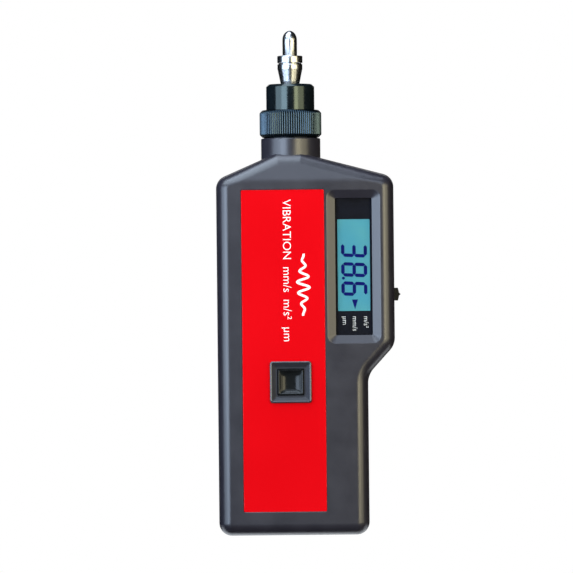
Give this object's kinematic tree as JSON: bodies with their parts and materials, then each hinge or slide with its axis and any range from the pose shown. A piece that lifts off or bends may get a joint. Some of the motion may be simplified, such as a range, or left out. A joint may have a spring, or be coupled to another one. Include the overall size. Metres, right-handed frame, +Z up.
{
  "type": "handheld vibration meter",
  "caption": "Pocket vibration meter: flat moulded body with display, measure key and side selector, and a sensor head with a steel contact tip on a knurled ring.",
  "frame": {"origin": "on the axis of the contact tip, on the flat base", "axes": "+Z up the body to the contact tip, -Y out of the front face with the display, +X towards the display side"},
  "size_m": [0.0672, 0.0298, 0.185],
  "materials": {
    "casing": "satin",
    "label": "satin",
    "window": "polished",
    "lcd": "polished",
    "reflector": "matte",
    "black_rubber": "matte",
    "board": "satin",
    "chip": "matte",
    "capacitor": "satin",
    "bezel": "satin",
    "key": "glossy",
    "plunger": "satin",
    "switch_can": "satin",
    "knob": "satin",
    "sleeve": "satin",
    "ring": "anodised",
    "head": "polished",
    "piezo": "matte",
    "mass": "satin",
    "screw": "satin",
    "tip": "polished",
    "lead": "matte",
    "battery": "satin",
    "snap": "matte",
    "wires": "satin"
  },
  "bodies": {
    "housing": {"front_casing": "casing", "rear_casing": "casing", "front_label": "label", "display_window": "window", "lcd_glass": "lcd", "lcd_reflector": "reflector", "zebra_strips": "black_rubber", "main_board": "board", "processor_chip": "chip", "amplifier_chips": "chip", "capacitors": "capacitor", "button_bezel": "bezel", "key_switch": "chip", "slide_switch": "switch_can", "neck_sleeve": "sleeve", "seal_ring": "black_rubber", "sensor_housing": "head", "sensor_base": "switch_can", "piezo_element": "piezo", "seismic_mass": "mass", "preload_bolt": "screw", "sensor_cable": "lead", "battery": "battery", "battery_snap": "snap", "battery_leads": "wires", "casing_screws": "screw", "board_screws": "screw"},
    "measure_key": {"measure_button": "key", "key_plunger": "plunger"},
    "selector": {"mode_knob": "knob", "switch_slider": "chip"},
    "door": {"battery_door": "casing"},
    "ring": {"knurled_ring": "ring"},
    "tip": {"contact_tip": "tip"}
  },
  "joints": [
    {"name": "measure_press", "type": "slide", "parent": "housing", "child": "measure_key", "axis": [0, 1, 0], "range_m": [0, 0.0005], "stiffness_N_per_m": 3200},
    {"name": "mode_slide", "type": "slide", "parent": "housing", "child": "selector", "axis": [0, 0, 1], "range_m": [-0.002, 0.002]},
    {"name": "door_slide", "type": "slide", "parent": "housing", "child": "door", "axis": [0, 0, -1], "range_m": [0, 0.058]},
    {"name": "ring_turn", "type": "hinge", "parent": "housing", "child": "ring", "pos_m": [0, 0, 0.15], "axis": [0, 0, 1], "range_deg": [0, 360]},
    {"name": "tip_turn", "type": "hinge", "parent": "housing", "child": "tip", "pos_m": [0, 0, 0.17], "axis": [0, 0, 1], "range_deg": [0, 360]}
  ]
}
